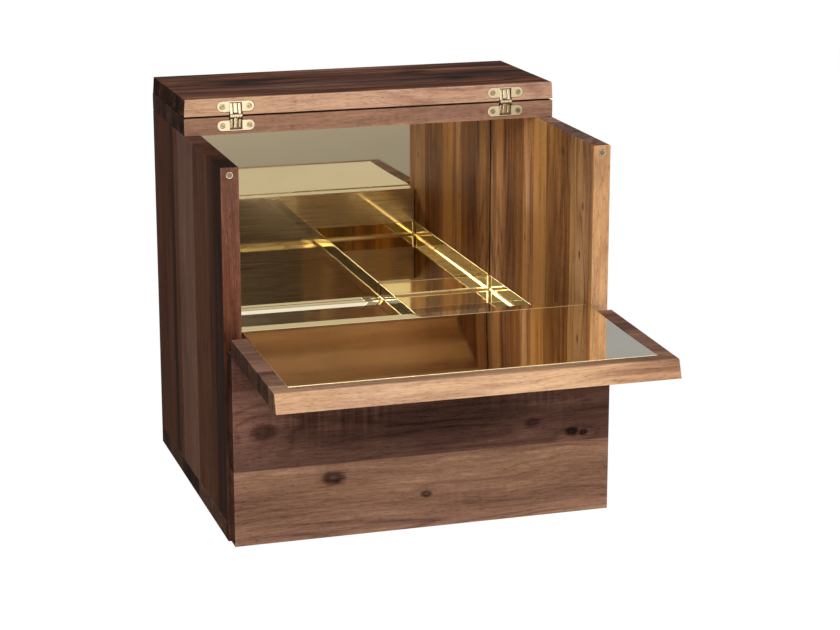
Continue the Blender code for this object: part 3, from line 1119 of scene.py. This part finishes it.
@dataclass
class WalnutCase:
    """The walnut boards of the cabinet, each glued from its own staves."""

    effects: Effects

    def build(self) -> None:
        """Dress every board."""
        for node, finish in (self._body() | self._top() | self._front()).items():
            dress(node, finish.material(node, self.effects))

    def _body(self) -> dict[str, WalnutFinish]:
        """Lay out the staves of the body.

        Returns:
            The finish of each board's node.
        """
        bottom = glued((20, 0.30, 0.9), (25, 0.72, 0.5), (176, 0.46, 0.6), (270, 0.66, 0.5), (355, 0.46, 0.6))
        left = glued((20, 0.45, 0.90), (22, 0.20, 1.1), (67, 0.40, 1.05), (94, 0.52, 0.97), (169, 0.66, 0.77),
                     (258, 0.50, 1.0), (284, 0.19, 1.0), (301, 0.46, 1.05))
        # Darker cloud low on the left side's front edge, beside the panel: partly darker wood, partly painted
        # shade of the recess
        left_edge_wood_and_shade = Patch((4, 20, 110), (160, 4, 20), -0.26)
        right = glued((20, 0.88, 0.2, 0.5), (22, 0.52, 0.68), (92, 0.34, 0.60), (174, 0.63, 0.65),
                      (218, 0.58, 0.68), (255, 0.32, 0.68), (331, 0.48, 0.75))
        right_knots = (
            Knot((430, 53, 350), 2.4, 0.8),
            Knot((430, 61, 291), 2.2, 0.9),
            Knot((430, 248, 269), 1.8, 0.6),
            Knot((430, 120, 402), 3.0, 0.4),
        )
        back = glued((20, 0.45, 0.6), (110, 0.60, 0.5), (200, 0.40, 0.6), (300, 0.52, 0.5))
        well = glued((20, 0.45, 0.6), (120, 0.55, 0.6))
        return {
            "bottom_board": WalnutFinish(GrainRun.ACROSS_DEPTH, bottom, seed=0.13),
            "side_left": WalnutFinish(GrainRun.UPRIGHT, left, patches=(left_edge_wood_and_shade,), figure=0.8, seed=0.29),
            # The right side's inner face is made lighter and more golden all over: painted warm bounce light
            "side_right": WalnutFinish(GrainRun.UPRIGHT, right, right_knots, figure=1.3, end_dark=-0.15,
                                       painted_light_axis=0, painted_light_tone=0.38, painted_light_hue=-0.6, seed=0.61),
            "back_board": WalnutFinish(GrainRun.ACROSS_HEIGHT, back, seed=0.83),
            "well_front": WalnutFinish(GrainRun.ACROSS_HEIGHT, well, seed=0.91),
        }

    def _top(self) -> dict[str, WalnutFinish]:
        """Lay out the staves of the two halves of the top.

        Returns:
            The finish of each board's node.
        """
        rear = glued((210, 0.67, 0.5, 0.4), (213, 0.32, 0.75), (238, 0.50, 0.8), (262, 0.34, 0.7),
                     (290, 0.56, 0.8), (318, 0.38, 0.75), (345, 0.48, 0.8))
        lid = glued((209, 0.87, 0.5, 0.27), (213, 0.43, 0.95), (262, 0.37, 0.90), (318, 0.46, 0.95),
                    (360, 0.38, 0.9))
        lid_streak = Patch((350, 289, 458), (115, 9, 30), -0.14)
        return {
            # The top's underside is made lighter and more golden: painted light thrown up by the flap's
            # polished sheet
            "top_rear": WalnutFinish(GrainRun.ACROSS_DEPTH, rear, figure=1.2, end_dark=0.15,
                                     painted_light_axis=2, painted_light_tone=0.48, painted_light_hue=-0.55, seed=0.47),
            "lid_front": WalnutFinish(GrainRun.ACROSS_DEPTH, lid, patches=(lid_streak,), figure=2.3,
                                      seed=0.71),
        }

    def _front(self) -> dict[str, WalnutFinish]:
        """Lay out the staves of the front panel and the flap.

        Returns:
            The finish of each board's node.
        """
        panel = glued((0, 0.64, 0.5), (86, 0.45, 0.65, 0.7), (180, 0.34, 0.75))
        knots = (
            Knot((38, 0, 131), 8.0, 0.6),
            Knot((117, 0, 70), 6.5, 0.85),
            Knot((226, 0, 40), 3.5, 0.7),
            Knot((353, 0, 113), 5.0, 0.4),
            Knot((401, 0, 98), 4.0, 0.9),
            Knot((415, 0, 96), 3.0, 0.8),
        )
        clouds = (
            Patch((262, 0, 128), (95, 38, 50), -0.11),
            Patch((405, 0, 105), (60, 16, 50), -0.08),
            Patch((20, 0, 150), (55, 40, 50), 0.11),
        )
        ripples = (Patch((120, 0, 145), (75, 34, 50), 1.6), Patch((330, 0, 150), (60, 26, 50), 0.9))
        flap = glued((-206, 0.92, 0.4, 0.9), (-194, 0.80, 0.4, 0.9), (-172, 0.63, 0.5), (-140, 0.56, 0.6),
                     (-122, 0.65, 0.5), (-84, 0.50, 0.6), (-48, 0.57, 0.7), (-20, 0.60, 0.8))
        flap_end = Patch((445, -200, 213), (115, 30, 40), -0.22)
        return {
            "front_panel": WalnutFinish(GrainRun.ACROSS_HEIGHT, panel, knots, clouds, ripples, figure=0.9,
                                        seed=0.05),
            "flap": WalnutFinish(GrainRun.ACROSS_DEPTH, flap, patches=(flap_end,), seed=0.37),
        }


@dataclass
class Inside:
    """Mirror, linings and rails, and the hinges of the flap."""

    metals: Metals
    sides: tuple[str, str] = ("left", "right")

    def build(self) -> None:
        """Dress the metal and glass inside."""
        # The front rail in the brighter edge brass: painted highlight
        dress("rail_front", self.metals.edge)
        dress("rail_back", self.metals.polished)
        dress("back_lining", self.metals.lining)
        dress("front_lining", self.metals.brushed)
        dress("mirror", self.metals.mirror)
        for side in self.sides:
            dress(f"flap_leaf_fixed_{side}", self.metals.satin)
            dress(f"flap_leaf_moving_{side}", self.metals.satin)
            dress(f"flap_pin_{side}", self.metals.steel)


@dataclass
class BrassTray(Handwork):
    """Sliding tray folded from one brass sheet, its rim and folds in a brighter, rougher brass: painted
    highlight lines.
    """

    wall: float = 1.2 * MM
    fold: float = 4.4 * MM
    fold_segments: int = 6
    rim_round: float = 0.45 * MM
    rim_segments: int = 3
    rim_degrees: float = 60.0

    def build(self) -> None:
        """Fold the tray and dress it."""
        low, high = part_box("tray")
        piece = self.open_box("folded_tray", low, high)
        floor = low.z + self.fold
        self.bevel(piece, lambda one, other: min(one.z, other.z) < floor, self.fold, self.fold_segments)
        self.thicken(piece, self.wall)
        self.apply(piece, "BEVEL", width=self.rim_round, segments=self.rim_segments, limit_method="ANGLE",
                   angle_limit=math.radians(self.rim_degrees))
        rim = high.z - self.wall / 2
        # Rim and folds in the brighter edge brass: painted highlight lines
        self.coat(piece, self.metals.golden, self.metals.edge,
                  lambda face: face.center.z > rim or not flat(face))
        self.hand_in(piece, "tray", "tray")


@dataclass
class LidHinges(Handwork):
    """The two concealed lid hinges: slotted leaves, link fingers and countersunk screws, in millimetres."""

    middles: Span = (61.0, 390.0)
    axis_y: float = 210.6
    axis_z: float = 447.4
    rest_turn: float = 0.55
    face_gap: float = 0.4
    round_sides: int = 32
    leaf_drop: float = 11.1
    leaf_long: float = 44.0
    leaf_tall: float = 12.4
    leaf_deep: float = 12.0
    leaf_ease: float = 0.35
    window_wide: float = 14.8
    window_back: Span = (-1.0, 5.2)
    window_over: float = 2.0
    window_web: float = 1.3
    recess_from: float = 2.4
    finger_half: float = 2.5
    outer_fingers: Span = (2.9, 6.9)
    finger_back: Span = (0.3, 4.2)
    finger_lean: float = 2.8
    finger_short: float = 3.0
    finger_top: float = 1.2
    finger_gap: float = 1.2
    finger_ease: float = 0.8
    finger_segments: int = 3
    knuckle_radius: float = 2.6
    knuckle_sides: int = 28
    pin_radius: float = 1.3
    bore_over: float = 2.0
    screw_off: float = 16.0
    sink_radii: Span = (4.0, 2.0)
    sink_back: Span = (-1.0, 2.0)
    head_radius: float = 3.1
    head_deep: float = 1.3
    head_ease: float = 0.3
    ease_segments: int = 2
    slot_wide: float = 0.9
    slot_deep: float = 0.5
    slot_turn: float = 35.0
    slot_inside: float = 0.9
    double_gap: float = 0.001

    def build(self) -> None:
        """Make the leaves and screws and dress the pins."""
        near, far = self.outer_fingers
        outer = ((-far, -near), (near, far))
        middle = ((-self.finger_half, self.finger_half),)
        fixed = self._leaf(middle, outer)
        moving = self._leaf(outer, middle)
        screw = self._screw()
        for side, place in zip(("left", "right"), self.middles):
            dress(f"lid_pin_{side}", self.metals.steel)
            for kind, body, first in (("fixed", "carcass", fixed), ("moving", "lid", moving)):
                self._place(first, f"hinge_leaf_{kind}_{side}", place, body, f"lid_leaf_{kind}_{side}")
                for end, off in (("outer", -self.screw_off), ("inner", self.screw_off)):
                    self._place(screw, f"hinge_screw_{kind}_{side}_{end}", place + off, body)
        for first in (fixed, moving, screw):
            bpy.data.objects.remove(first)

    def _spot(self, x: float, back: float, down: float) -> Vector:
        """Place a point of a leaf that is drawn hanging below the axis, facing the front.

        Args:
            x: Millimetres from the hinge's middle.
            back: Millimetres behind the leaf's face.
            down: Millimetres below the axis.

        Returns:
            The point, for a hinge in the middle of the frame.
        """
        return at(CABINET_MID_X + x, self.axis_y + self.face_gap + back, self.axis_z - down)

    def _bar(self, name: str, x: Span, back: Span, down: Span) -> Piece:
        """Add a block given in the leaf's millimetres."""
        return self.block(name, self._spot(x[0], back[0], down[1]), self._spot(x[1], back[1], down[0]))

    def _leaf(self, own: Sequence[Span], other: Sequence[Span]) -> Piece:
        """Model one leaf with its slot, its fingers and its countersinks.

        Args:
            own: Fingers that reach the pin.
            other: Fingers that stop short of the other leaf's knuckles.

        Returns:
            The leaf, in the middle of the frame.
        """
        half_tall = self.leaf_tall / 2
        radii = (half_tall * MM, half_tall * MM)
        middle = self._spot(0.0, self.leaf_deep / 2, self.leaf_drop)
        facing = (QUARTER, math.pi / self.round_sides, 0.0)
        piece = self.turned("hinge_leaf", middle, radii, self.leaf_deep * MM, facing, self.round_sides)
        stretch = (self.leaf_long / 2 - half_tall) * MM
        for way in (-1.0, 1.0):
            self.move(piece, lambda one, two: min(one.x * way, two.x * way) > 0.0, (way * stretch, 0.0, 0.0))
        front = self._spot(0.0, 0.0, 0.0).y + NEAR
        self.bevel(piece, lambda one, two: max(one.y, two.y) < front, self.leaf_ease * MM, self.ease_segments)

        top, foot = self.leaf_drop - half_tall, self.leaf_drop + half_tall
        half = self.window_wide / 2
        window = (top - self.window_over, foot - self.window_web)
        self.cut(piece, self._bar("slot", (-half, half), self.window_back, window))
        for off in (-self.screw_off, self.screw_off):
            self.cut(piece, self._sink(off))
        foot -= self.finger_short
        fingers = [self._finger(span, foot, 0.0) for span in own]
        fingers += [self._finger(span, foot, self.knuckle_radius + self.finger_gap) for span in other]
        self.join(piece, *fingers)
        inner = self._spot(0.0, self.recess_from, 0.0).y
        # Faces deep in the leaf, inside its window, in the dark brass: painted shade
        self.coat(piece, self.metals.satin, self.metals.dark_brass_and_shade, lambda face: face.center.y > inner)
        return piece

    def _sink(self, off: float) -> Piece:
        """Model the cutter for a countersink.

        Args:
            off: Millimetres from the hinge's middle.

        Returns:
            The cutter.
        """
        front, back = self.sink_back
        centre = self._spot(off, (front + back) / 2, self.leaf_drop)
        radii = (self.sink_radii[0] * MM, self.sink_radii[1] * MM)
        return self.turned("sink", centre, radii, (back - front) * MM, (-QUARTER, 0.0, 0.0), self.round_sides)

    def _finger(self, x: Span, foot: float, stop: float) -> Piece:
        """Model one link finger.

        Args:
            x: Its sides.
            foot: Its lower end, below the axis.
            stop: Where it ends below the axis; one that goes all the way gets a knuckle.

        Returns:
            The finger.
        """
        bar = self._bar("finger", x, self.finger_back, (max(stop, self.finger_top), foot))
        low = self._spot(0.0, self.finger_back[0], foot) + Vector((0.0, NEAR, NEAR))
        self.move(bar, lambda one, two: max(one.y, two.y) < low.y and max(one.z, two.z) < low.z,
                  (0.0, self.finger_lean * MM, 0.0))
        self.bevel(bar, lambda one, two: abs(one.x - two.x) < NEAR, self.finger_ease * MM,
                   self.finger_segments)
        if stop > 0.0:
            return bar
        centre = self._spot((x[0] + x[1]) / 2, -self.face_gap, 0.0)
        wide = x[1] - x[0]
        knuckle = self._rod("knuckle", centre, self.knuckle_radius, wide)
        self.cut(knuckle, self._rod("bore", centre, self.pin_radius, wide + self.bore_over))
        self.join(bar, knuckle)
        return bar

    def _rod(self, name: str, centre: Vector, radius: float, long: float) -> Piece:
        """Add a cylinder that lies from left to right."""
        radii = (radius * MM, radius * MM)
        return self.turned(name, centre, radii, long * MM, (0.0, QUARTER, 0.0), self.knuckle_sides)

    def _screw(self) -> Piece:
        """Model one slotted countersunk screw head, flush with its leaf.

        Returns:
            The screw head, in the middle of the frame.
        """
        centre = self._spot(0.0, 0.0, self.leaf_drop)
        middle = self._spot(0.0, self.head_deep / 2, self.leaf_drop)
        radii = (self.head_radius * MM, self.head_radius * MM)
        facing = (QUARTER, 0.0, 0.0)
        piece = self.turned("hinge_screw", middle, radii, self.head_deep * MM, facing, self.round_sides)
        front = centre.y + NEAR
        self.bevel(piece, lambda one, two: max(one.y, two.y) < front, self.head_ease * MM, self.ease_segments)
        turn = math.radians(self.slot_turn)
        across = Vector((math.sin(turn), 0.0, math.cos(turn)))
        half = self.slot_wide / 2 * MM
        for side in (-half, half):
            self.bisect(piece, centre + across * side, across)
        inside = half * self.slot_inside
        self.on_faces(
            piece,
            lambda face: frontward(face) and abs((face.center - centre).dot(across)) < inside,
            bpy.ops.mesh.extrude_region_move,
            TRANSFORM_OT_translate={"value": (0.0, self.slot_deep * MM, 0.0)},
        )
        floor = centre.y + self.slot_deep / 2 * MM
        # The slot's floor in the dark brass: painted shade
        self.coat(piece, self.metals.screw, self.metals.dark_brass_and_shade,
                  lambda face: frontward(face) and face.center.y > floor)
        return piece

    def _turn_up(self, axis: Vector) -> None:
        """Turn the picked leaf or screw half round the axis, and a little more, as the folded lid lies.

        Args:
            axis: Point on the axis.
        """
        bpy.ops.transform.mirror(constraint_axis=(False, False, True), center_override=axis)
        bpy.ops.mesh.remove_doubles(threshold=self.double_gap * MM)
        bpy.ops.mesh.normals_make_consistent(inside=False)
        bpy.ops.transform.rotate(value=math.radians(self.rest_turn), orient_axis="X", center_override=axis)

    def _place(self, first: Piece, name: str, x: float, body: str, node: str = "") -> None:
        """Copy a leaf or a screw to its hinge.

        Args:
            first: The modelled piece, in the middle of the frame.
            name: Name of the copy.
            x: Millimetres from the cabinet's left side.
            body: Body that it rides on; the lid's pieces are turned up about the axis.
            node: CAD node that it stands for, if any.
        """
        axis = at(x, self.axis_y, self.axis_z)
        piece = self.copy(first, name, Vector((axis.x, 0.0, 0.0)))
        if body == "lid":
            self.on_faces(piece, every, self._turn_up, axis=axis)
        self.hand_in(piece, body, node, TURNED_DEGREES)


@dataclass
class FlapSheet(Handwork):
    """Polished sheet of the flap with eased edges and a slight bow, drawn closed and let down."""

    sides: Span = (21.5, 428.5)
    faces: Span = (18.5, 19.7)
    ends: Span = (215.4, 419.6)
    axis_y: float = 9.85
    axis_z: float = 230.05
    rest_turn: float = 91.4
    ease: float = 0.6 * MM
    ease_segments: int = 3
    sag: float = 1.0 * MM
    sunk: float = 0.2 * MM
    rows: int = 16
    same_level: float = 0.01 * MM
    level_digits: int = 6

    def build(self) -> None:
        """Model the sheet and dress it."""
        low, high = (at(*corner) for corner in zip(self.sides, self.faces, self.ends))
        piece = self.block("eased_sheet", low, high)
        inner = high.y - NEAR
        self.bevel(piece, lambda one, other: min(one.y, other.y) > inner, self.ease, self.ease_segments)
        # Eased edges in the brighter edge brass: painted highlight line
        self.coat(piece, self.metals.polished, self.metals.edge, lambda face: not flat(face))
        self._bow(piece, low, high)
        self.turn(piece, math.radians(-self.rest_turn), "X", at(0.0, self.axis_y, self.axis_z))
        self.hand_in(piece, "flap", "flap_sheet")

    def _bow(self, piece: Piece, low: Vector, high: Vector) -> None:
        """Bow the closed sheet a little, so that both ends stand proud.

        Args:
            piece: The closed sheet.
            low: Its lowest corner.
            high: Its highest corner.
        """
        for row in range(1, self.rows):
            self.bisect(piece, low.lerp(high, row / self.rows), Vector((0.0, 0.0, 1.0)))
        for level in sorted({round(point.co.z, self.level_digits) for point in piece.data.vertices}):
            share = (level - low.z) / (high.z - low.z)
            lift = self.sag * (2.0 * share - 1.0) ** 2 - self.sunk
            self.move(
                piece,
                lambda one, other: max(abs(one.z - level), abs(other.z - level)) < self.same_level,
                (0.0, lift, 0.0),
            )


@dataclass
class RimCap(Handwork):
    """Thin brass cap on the well's front board, its long edges rubbed round."""

    ease: float = 0.4 * MM
    ease_segments: int = 3

    def build(self) -> None:
        """Model the cap and dress it."""
        low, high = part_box("rim_cap")
        piece = self.block("eased_cap", low, high)
        top = high.z - NEAR
        self.bevel(piece, lambda one, other: min(one.z, other.z) > top, self.ease, self.ease_segments)
        # Eased edges and sides in the brighter edge brass: painted highlight line
        self.coat(piece, self.metals.polished, self.metals.edge, lambda face: face.normal.z < FACING)
        self.hand_in(piece, "carcass", "rim_cap")


@dataclass
class WellFloor(Handwork):
    """Brass sheet on the floor of the well, its edges turned up against the walls."""

    sides: Span = (20.6, 429.4)
    ends: Span = (47.2, 378.0)
    levels: Span = (20.1, 22.5)
    wall: float = 0.7 * MM
    fold: float = 1.05 * MM
    fold_segments: int = 3

    def build(self) -> None:
        """Fold the sheet and dress it."""
        low, high = (at(*corner) for corner in zip(self.sides, self.ends, self.levels))
        piece = self.open_box("well_floor", low, high)
        floor = low.z + NEAR
        self.bevel(piece, lambda one, other: max(one.z, other.z) < floor, self.fold, self.fold_segments)
        self.thicken(piece, self.wall)
        self.coat(piece, self.metals.polished)
        self.hand_in(piece, "carcass")


@dataclass
class RailLips(Handwork):
    """Sloping brass lips along the inner edges of the two rails."""

    tall: float = 4.8 * MM
    foot_out: float = 1.8 * MM
    head_out: float = 0.4 * MM
    below: float = 0.2 * MM
    ease: float = 0.3 * MM
    ease_segments: int = 3

    def build(self) -> None:
        """Model the rear rail's lip and copy it, turned round, to the front rail."""
        low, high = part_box("rail_back")
        head = high.z - self.below
        foot = Vector((low.x, low.y - self.foot_out, head - self.tall))
        lip = self.block("rail_lip_back", foot, Vector((high.x, low.y, head)))
        front, top, wall = foot.y + NEAR, head - NEAR, low.y - NEAR
        self.move(lip, lambda one, other: max(one.y, other.y) < front and min(one.z, other.z) > top,
                  (0.0, self.foot_out - self.head_out, 0.0))
        self.bevel(lip, lambda one, other: max(one.y, other.y) < wall and abs(one.x - other.x) > self.tall,
                   self.ease, self.ease_segments)
        turned = self.copy(lip, "rail_lip_front", Vector())
        middle = (low.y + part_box("rail_front")[1].y) / 2
        self.turn(turned, math.pi, "Z", Vector((0.0, middle, 0.0)))
        # The front lip in the brighter edge brass: painted highlight
        for piece, material in ((lip, self.metals.polished), (turned, self.metals.edge)):
            self.coat(piece, material)
            self.hand_in(piece, "carcass")


@dataclass
class EdgeSeals(Handwork):
    """Dark wax beads in the corners beside the mirror and the front lining."""

    wide: float = 1.3 * MM
    deep: float = 0.45 * MM
    above_tray: float = 194.0 * MM
    ease: float = 0.18 * MM
    ease_segments: int = 2

    def build(self) -> None:
        """Run the four beads."""
        mirror_low, mirror_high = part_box("mirror")
        lining_low, lining_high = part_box("front_lining")
        self._pair("mirror_seal", mirror_low, mirror_high, mirror_low.y - self.deep)
        self._pair("lining_seal", lining_low, lining_high, lining_high.y)

    def _pair(self, name: str, low: Vector, high: Vector, front: float) -> None:
        """Run one bead up each side of a sheet.

        Args:
            name: Start of the pieces' names.
            low: Lowest corner of the sheet.
            high: Highest corner of the sheet.
            front: Front of the beads.
        """
        size = Vector((self.wide, self.deep, high.z - self.wide - self.above_tray))
        for side, start in (("left", low.x), ("right", high.x - self.wide)):
            foot = Vector((start, front, self.above_tray))
            piece = self.block(f"{name}_{side}", foot, foot + size)
            self.bevel(piece, lambda one, other: abs(one.z - other.z) > self.wide, self.ease,
                       self.ease_segments)
            self.coat(piece, self.metals.seal)
            self.hand_in(piece, "carcass")


@dataclass
class Catches(Handwork):
    """Round brass catches in the front edges of the sides, their rims kept bright by the flap."""

    sides: int = 40
    rim: float = 0.9 * MM
    dish: float = 0.35 * MM
    ease: float = 0.3 * MM
    ease_segments: int = 2

    def build(self) -> None:
        """Turn both catches."""
        for node in ("catch_left", "catch_right"):
            low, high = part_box(node)
            radius = (high.x - low.x) / 2
            piece = self.turned(f"turned_{node}", (low + high) / 2, (radius, radius), high.y - low.y,
                                (QUARTER, 0.0, 0.0), self.sides)
            self.on_faces(piece, frontward, self._dish_face)
            front = low.y + NEAR
            self.bevel(piece, lambda one, other: max(one.y, other.y) < front, self.ease, self.ease_segments)
            # The dished face in the dark brass, the rounded rim in satin
            self.coat(piece, self.metals.dark_brass_and_shade, self.metals.satin, lambda face: not flat(face))
            self.hand_in(piece, "carcass", node, TURNED_DEGREES)

    def _dish_face(self) -> None:
        """Sink the picked face inside a rim."""
        bpy.ops.mesh.inset(thickness=self.rim)
        bpy.ops.transform.translate(value=(0.0, self.dish, 0.0))


@dataclass(frozen=True)
class Lamp:
    """One soft studio lamp."""

    name: str
    place: Vector
    aim: Vector
    size: Span
    watts: float
    hidden: bool = False

    def light(self) -> None:
        """Hang the lamp."""
        data = bpy.data.lights.new(self.name, "AREA")
        data.shape = "RECTANGLE"
        data.size, data.size_y = self.size
        data.energy = self.watts
        made = bpy.data.objects.new(self.name, data)
        made.visible_camera = not self.hidden
        made.visible_glossy = not self.hidden
        made.location = self.place
        made.rotation_euler = (self.aim - self.place).to_track_quat("-Z", "Y").to_euler()
        bpy.context.scene.collection.objects.link(made)
        LOG.info("hung %s", self.name)


@dataclass
class Studio:
    """Pale floor, soft lamps, white surround and the camera."""

    lens: float = 100.8
    sensor: float = 36.0
    camera_place: Triple = (-0.750, -2.515, 0.923)
    camera_yaw: float = 17.1
    camera_pitch: float = 14.89
    floor_side: float = 14.0
    floor_level: float = -0.5 * MM
    floor_colour: Colour = rgb(0.22, 0.20, 0.155)
    floor_rough: float = 0.9
    floor_sheen: float = 0.1
    floor_white: float = 1.14
    floor_share: float = 0.88
    glossy_share: float = 0.17
    card_glow: Colour = rgb(0.90, 0.85, 0.71)
    card_sides: Span = (-0.3, 3.2)
    card_levels: Span = (0.25, 2.3)
    card_y: float = -4.4
    world_light: Colour = rgb(0.24, 0.24, 0.24)
    aim: Vector = field(default_factory=lambda: Vector((0.0, 0.0, 0.28)))
    bounce: Vector = field(default_factory=lambda: at(225.0, 275.0, 300.0))
    well_middle: Vector = field(default_factory=lambda: at(225.0, 212.0, 110.0))

    def build(self) -> None:
        """Set up floor, card, surround, lamps and camera."""
        self._floor()
        self._card()
        self._surround()
        for lamp in self._lamps():
            lamp.light()
        self._camera()
        bpy.context.scene.view_settings.view_transform = "Standard"

    def _lamps(self) -> tuple[Lamp, ...]:
        """List the lamps; those that stand for light between the walls and the metal stay hidden.

        Returns:
            The lamps.
        """
        well = self.well_middle
        up = Vector((0.0, MM, 1.0))
        right = Vector((1.0, 0.0, 0.0))
        return (
            Lamp("key_front", Vector((-0.8, -2.8, 1.75)), self.aim, (2.0, 0.8), 82.0),
            Lamp("low_front", Vector((0.0, -2.6, 0.16)), self.aim, (2.2, 0.3), 20.0),
            Lamp("fill_right", Vector((2.4, -1.6, 1.6)), self.aim, (1.4, 1.4), 12.0),
            Lamp("top_soft", Vector((0.4, -0.7, 2.4)), self.aim, (1.8, 1.4), 10.0),
            Lamp("back_fill", Vector((0.5, 3.0, 1.0)), self.aim, (1.8, 1.2), 20.0, True),
            Lamp("sheet_bounce", self.bounce, self.bounce + up, (0.36, 0.12), 0.16, True),
            Lamp("well_bounce_left", well, well - right, (0.25, 0.12), 0.30, True),
            Lamp("well_bounce_right", well, well + right, (0.25, 0.12), 0.35, True),
        )

    def _white_share(self, g: Graph, share: float) -> Wire:
        """Say how much of the white surround a ray sees.

        Args:
            g: Graph that needs it.
            share: Share for the camera.

        Returns:
            The share for the ray at hand.
        """
        path = g.node("ShaderNodeLightPath").outputs
        seen = g.math("MAXIMUM", path["Is Camera Ray"], path["Is Transmission Ray"])
        shine = g.math("MULTIPLY", path["Is Glossy Ray"], self.glossy_share)
        return g.math("MAXIMUM", g.math("MULTIPLY", seen, share), shine)

    def _floor(self) -> None:
        """Lay the pale floor."""
        bpy.ops.object.select_all(action="DESELECT")
        bpy.ops.mesh.primitive_plane_add(size=self.floor_side, location=(0.0, 0.0, self.floor_level))
        floor = bpy.context.object
        floor.name = "floor"
        made, g, shader = new_material("floor_pale")
        g.feed(shader.inputs["Base Color"], self.floor_colour)
        g.feed(shader.inputs["Roughness"], self.floor_rough)
        g.feed(shader.inputs["Specular IOR Level"], self.floor_sheen)
        glow = g.node("ShaderNodeEmission")
        g.feed(glow.inputs["Strength"], self.floor_white)
        seen = g.mixed(self._white_share(g, self.floor_share), shader, glow)
        g.feed(made.node_tree.nodes["Material Output"].inputs["Surface"], seen)
        floor.data.materials.append(made)

    def _card(self) -> None:
        """Stand a pale card far in front, for the metal to reflect."""
        bpy.ops.object.select_all(action="DESELECT")
        (left, right), (foot, head) = self.card_sides, self.card_levels
        middle = ((left + right) / 2, self.card_y, (foot + head) / 2)
        bpy.ops.mesh.primitive_plane_add(size=1.0, location=middle, rotation=(QUARTER, 0.0, 0.0))
        card = bpy.context.object
        card.name = "front_card"
        card.scale = (right - left, head - foot, 1.0)
        card.visible_camera = False
        made, g, _ = new_material("card_glow")
        glow = g.node("ShaderNodeEmission", self.card_glow)
        g.feed(made.node_tree.nodes["Material Output"].inputs["Surface"], glow.outputs[0])
        card.data.materials.append(made)

    def _surround(self) -> None:
        """Make the world white to the eye and softly lit."""
        world = bpy.data.worlds.new("studio")
        bpy.context.scene.world = world
        world.use_nodes = True
        g = Graph(world.node_tree)
        light = world.node_tree.nodes["Background"]
        g.feed(light.inputs["Color"], self.world_light)
        white = g.node("ShaderNodeBackground", rgb(1.0, 1.0, 1.0))
        seen = g.mixed(self._white_share(g, 1.0), light, white)
        g.feed(world.node_tree.nodes["World Output"].inputs["Surface"], seen)

    def _camera(self) -> None:
        """Set the camera at the photographed angle."""
        data = bpy.data.cameras.new("camera")
        data.lens = self.lens
        data.sensor_width = self.sensor
        data.sensor_fit = "HORIZONTAL"
        made = bpy.data.objects.new("camera", data)
        made.location = self.camera_place
        made.rotation_euler = (QUARTER - math.radians(self.camera_pitch), 0.0, math.radians(-self.camera_yaw))
        bpy.context.scene.collection.objects.link(made)
        bpy.context.scene.camera = made


def main() -> None:
    """Build the stage, then each sub-assembly in order."""
    logging.basicConfig(level=logging.INFO, format="%(name)s: %(message)s")
    Studio().build()
    effects = Effects()
    metals = Metals(effects)
    WalnutCase(effects).build()
    for fitting in (Inside, BrassTray, LidHinges, FlapSheet, RimCap, WellFloor, RailLips, EdgeSeals, Catches):
        fitting(metals).build()


if __name__ == "__main__":
    main()
